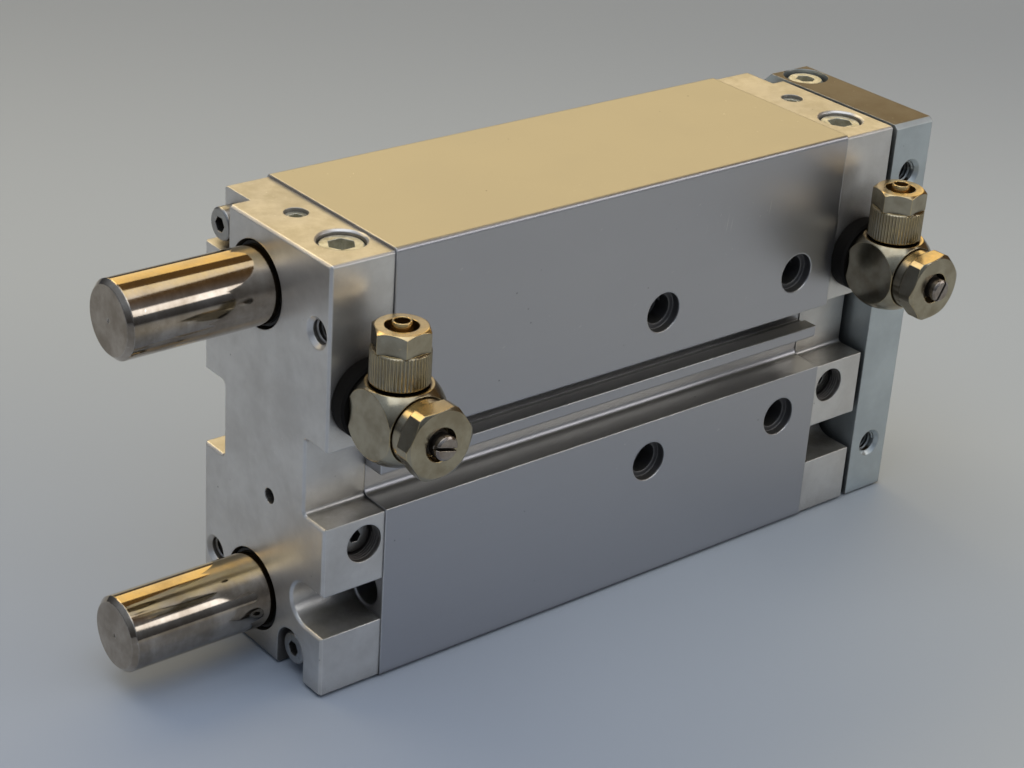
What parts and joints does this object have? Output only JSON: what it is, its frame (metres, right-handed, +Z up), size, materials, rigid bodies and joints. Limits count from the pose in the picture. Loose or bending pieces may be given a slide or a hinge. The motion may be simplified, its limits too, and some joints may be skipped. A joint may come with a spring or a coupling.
{
  "type": "guided pneumatic cylinder",
  "caption": "Compact double-acting pneumatic cylinder with twin guide rods, yoke plate, end caps and swivelling flow control valves with hose unions.",
  "frame": {"origin": "centre of the housing's flat bottom face", "axes": "+X along the cylinder towards the yoke plate, +Y towards the side away from the air ports, +Z up"},
  "size_m": [0.1989, 0.0701, 0.0962],
  "materials": {
    "anodised_aluminium": "satin anodised extrusion",
    "cap_aluminium": "blasted and clear anodised, bright bevels",
    "plated_steel": "zinc plated, satin",
    "hardened_steel": "ground and polished",
    "piston_rod_steel": "polished",
    "screw_steel": "zinc plated",
    "port_plug_steel": "nickel plated",
    "bearing_bronze": "sintered bearing",
    "seal_rubber": "black",
    "washer_black": "black, matt",
    "nickel_brass": "nickel plated brass",
    "piston_aluminium": "turned",
    "guide_ring_plastic": "plain",
    "magnet_compound": "plain",
    "cushion_aluminium": "turned"
  },
  "bodies": {
    "cylinder": {"housing": "anodised_aluminium", "rear_cap": "cap_aluminium", "front_cap": "cap_aluminium", "cap_tie_screws": "screw_steel", "piston_rod_bush": "bearing_bronze", "piston_rod_seal": "seal_rubber", "upper_rear_guide_bush": "bearing_bronze", "upper_rear_rod_wiper": "seal_rubber", "lower_rear_guide_bush": "bearing_bronze", "lower_rear_rod_wiper": "seal_rubber", "rear_cap_o_ring": "seal_rubber", "rear_cushion_seal": "seal_rubber", "rear_top_port_plug": "port_plug_steel", "rear_vent_screw": "screw_steel", "rear_valve_washer": "washer_black", "rear_hollow_bolt": "nickel_brass", "upper_front_guide_bush": "bearing_bronze", "upper_front_rod_wiper": "seal_rubber", "lower_front_guide_bush": "bearing_bronze", "lower_front_rod_wiper": "seal_rubber", "front_cap_o_ring": "seal_rubber", "front_cushion_seal": "seal_rubber", "front_top_port_plug": "port_plug_steel", "front_vent_screw": "screw_steel", "front_valve_washer": "washer_black", "front_hollow_bolt": "nickel_brass"},
    "carriage": {"yoke_plate": "plated_steel", "upper_guide_rod": "hardened_steel", "lower_guide_rod": "hardened_steel", "guide_rod_screws": "screw_steel", "piston_rod_screw": "screw_steel", "yoke_top_screw": "screw_steel", "piston_rod": "piston_rod_steel", "piston": "piston_aluminium", "rear_piston_seal": "seal_rubber", "front_piston_seal": "seal_rubber", "piston_guide_ring": "guide_ring_plastic", "piston_magnet": "magnet_compound", "rear_cushion_nut": "cushion_aluminium", "front_cushion_sleeve": "cushion_aluminium"},
    "rear_elbow": {"rear_elbow": "nickel_brass"},
    "rear_union_nut": {"rear_union_nut": "nickel_brass"},
    "rear_throttle_screw": {"rear_throttle_screw": "nickel_brass"},
    "rear_cushion_screw": {"rear_cushion_screw": "screw_steel"},
    "front_elbow": {"front_elbow": "nickel_brass"},
    "front_union_nut": {"front_union_nut": "nickel_brass"},
    "front_throttle_screw": {"front_throttle_screw": "nickel_brass"},
    "front_cushion_screw": {"front_cushion_screw": "screw_steel"}
  },
  "joints": [
    {"name": "carriage_slide", "type": "slide", "parent": "cylinder", "child": "carriage", "axis": [1, 0, 0], "range_m": [0, 0.08]},
    {"name": "rear_elbow_swivel", "type": "hinge", "parent": "cylinder", "child": "rear_elbow", "pos_m": [-0.06705, -0.0322, 0.0668], "axis": [0, -1, 0], "continuous": true},
    {"name": "rear_union_nut_turn", "type": "hinge", "parent": "rear_elbow", "child": "rear_union_nut", "pos_m": [-0.06705, -0.0322, 0.0788], "axis": [0, 0, 1], "range_deg": [0, 1440]},
    {"name": "rear_throttle_screw_turn", "type": "hinge", "parent": "cylinder", "child": "rear_throttle_screw", "pos_m": [-0.06705, -0.0475, 0.0668], "axis": [0, -1, 0], "range_deg": [-1440, 720]},
    {"name": "rear_cushion_screw_turn", "type": "hinge", "parent": "cylinder", "child": "rear_cushion_screw", "pos_m": [-0.06625, -0.0182, 0.0334], "axis": [0, -1, 0], "range_deg": [-720, 720]},
    {"name": "front_elbow_swivel", "type": "hinge", "parent": "cylinder", "child": "front_elbow", "pos_m": [0.06925, -0.0322, 0.0668], "axis": [0, -1, 0], "continuous": true},
    {"name": "front_union_nut_turn", "type": "hinge", "parent": "front_elbow", "child": "front_union_nut", "pos_m": [0.06925, -0.0322, 0.0788], "axis": [0, 0, 1], "range_deg": [0, 1440]},
    {"name": "front_throttle_screw_turn", "type": "hinge", "parent": "cylinder", "child": "front_throttle_screw", "pos_m": [0.06925, -0.0475, 0.0668], "axis": [0, -1, 0], "range_deg": [-1440, 720]},
    {"name": "front_cushion_screw_turn", "type": "hinge", "parent": "cylinder", "child": "front_cushion_screw", "pos_m": [0.06625, -0.0182, 0.0334], "axis": [0, -1, 0], "range_deg": [-720, 720]}
  ]
}
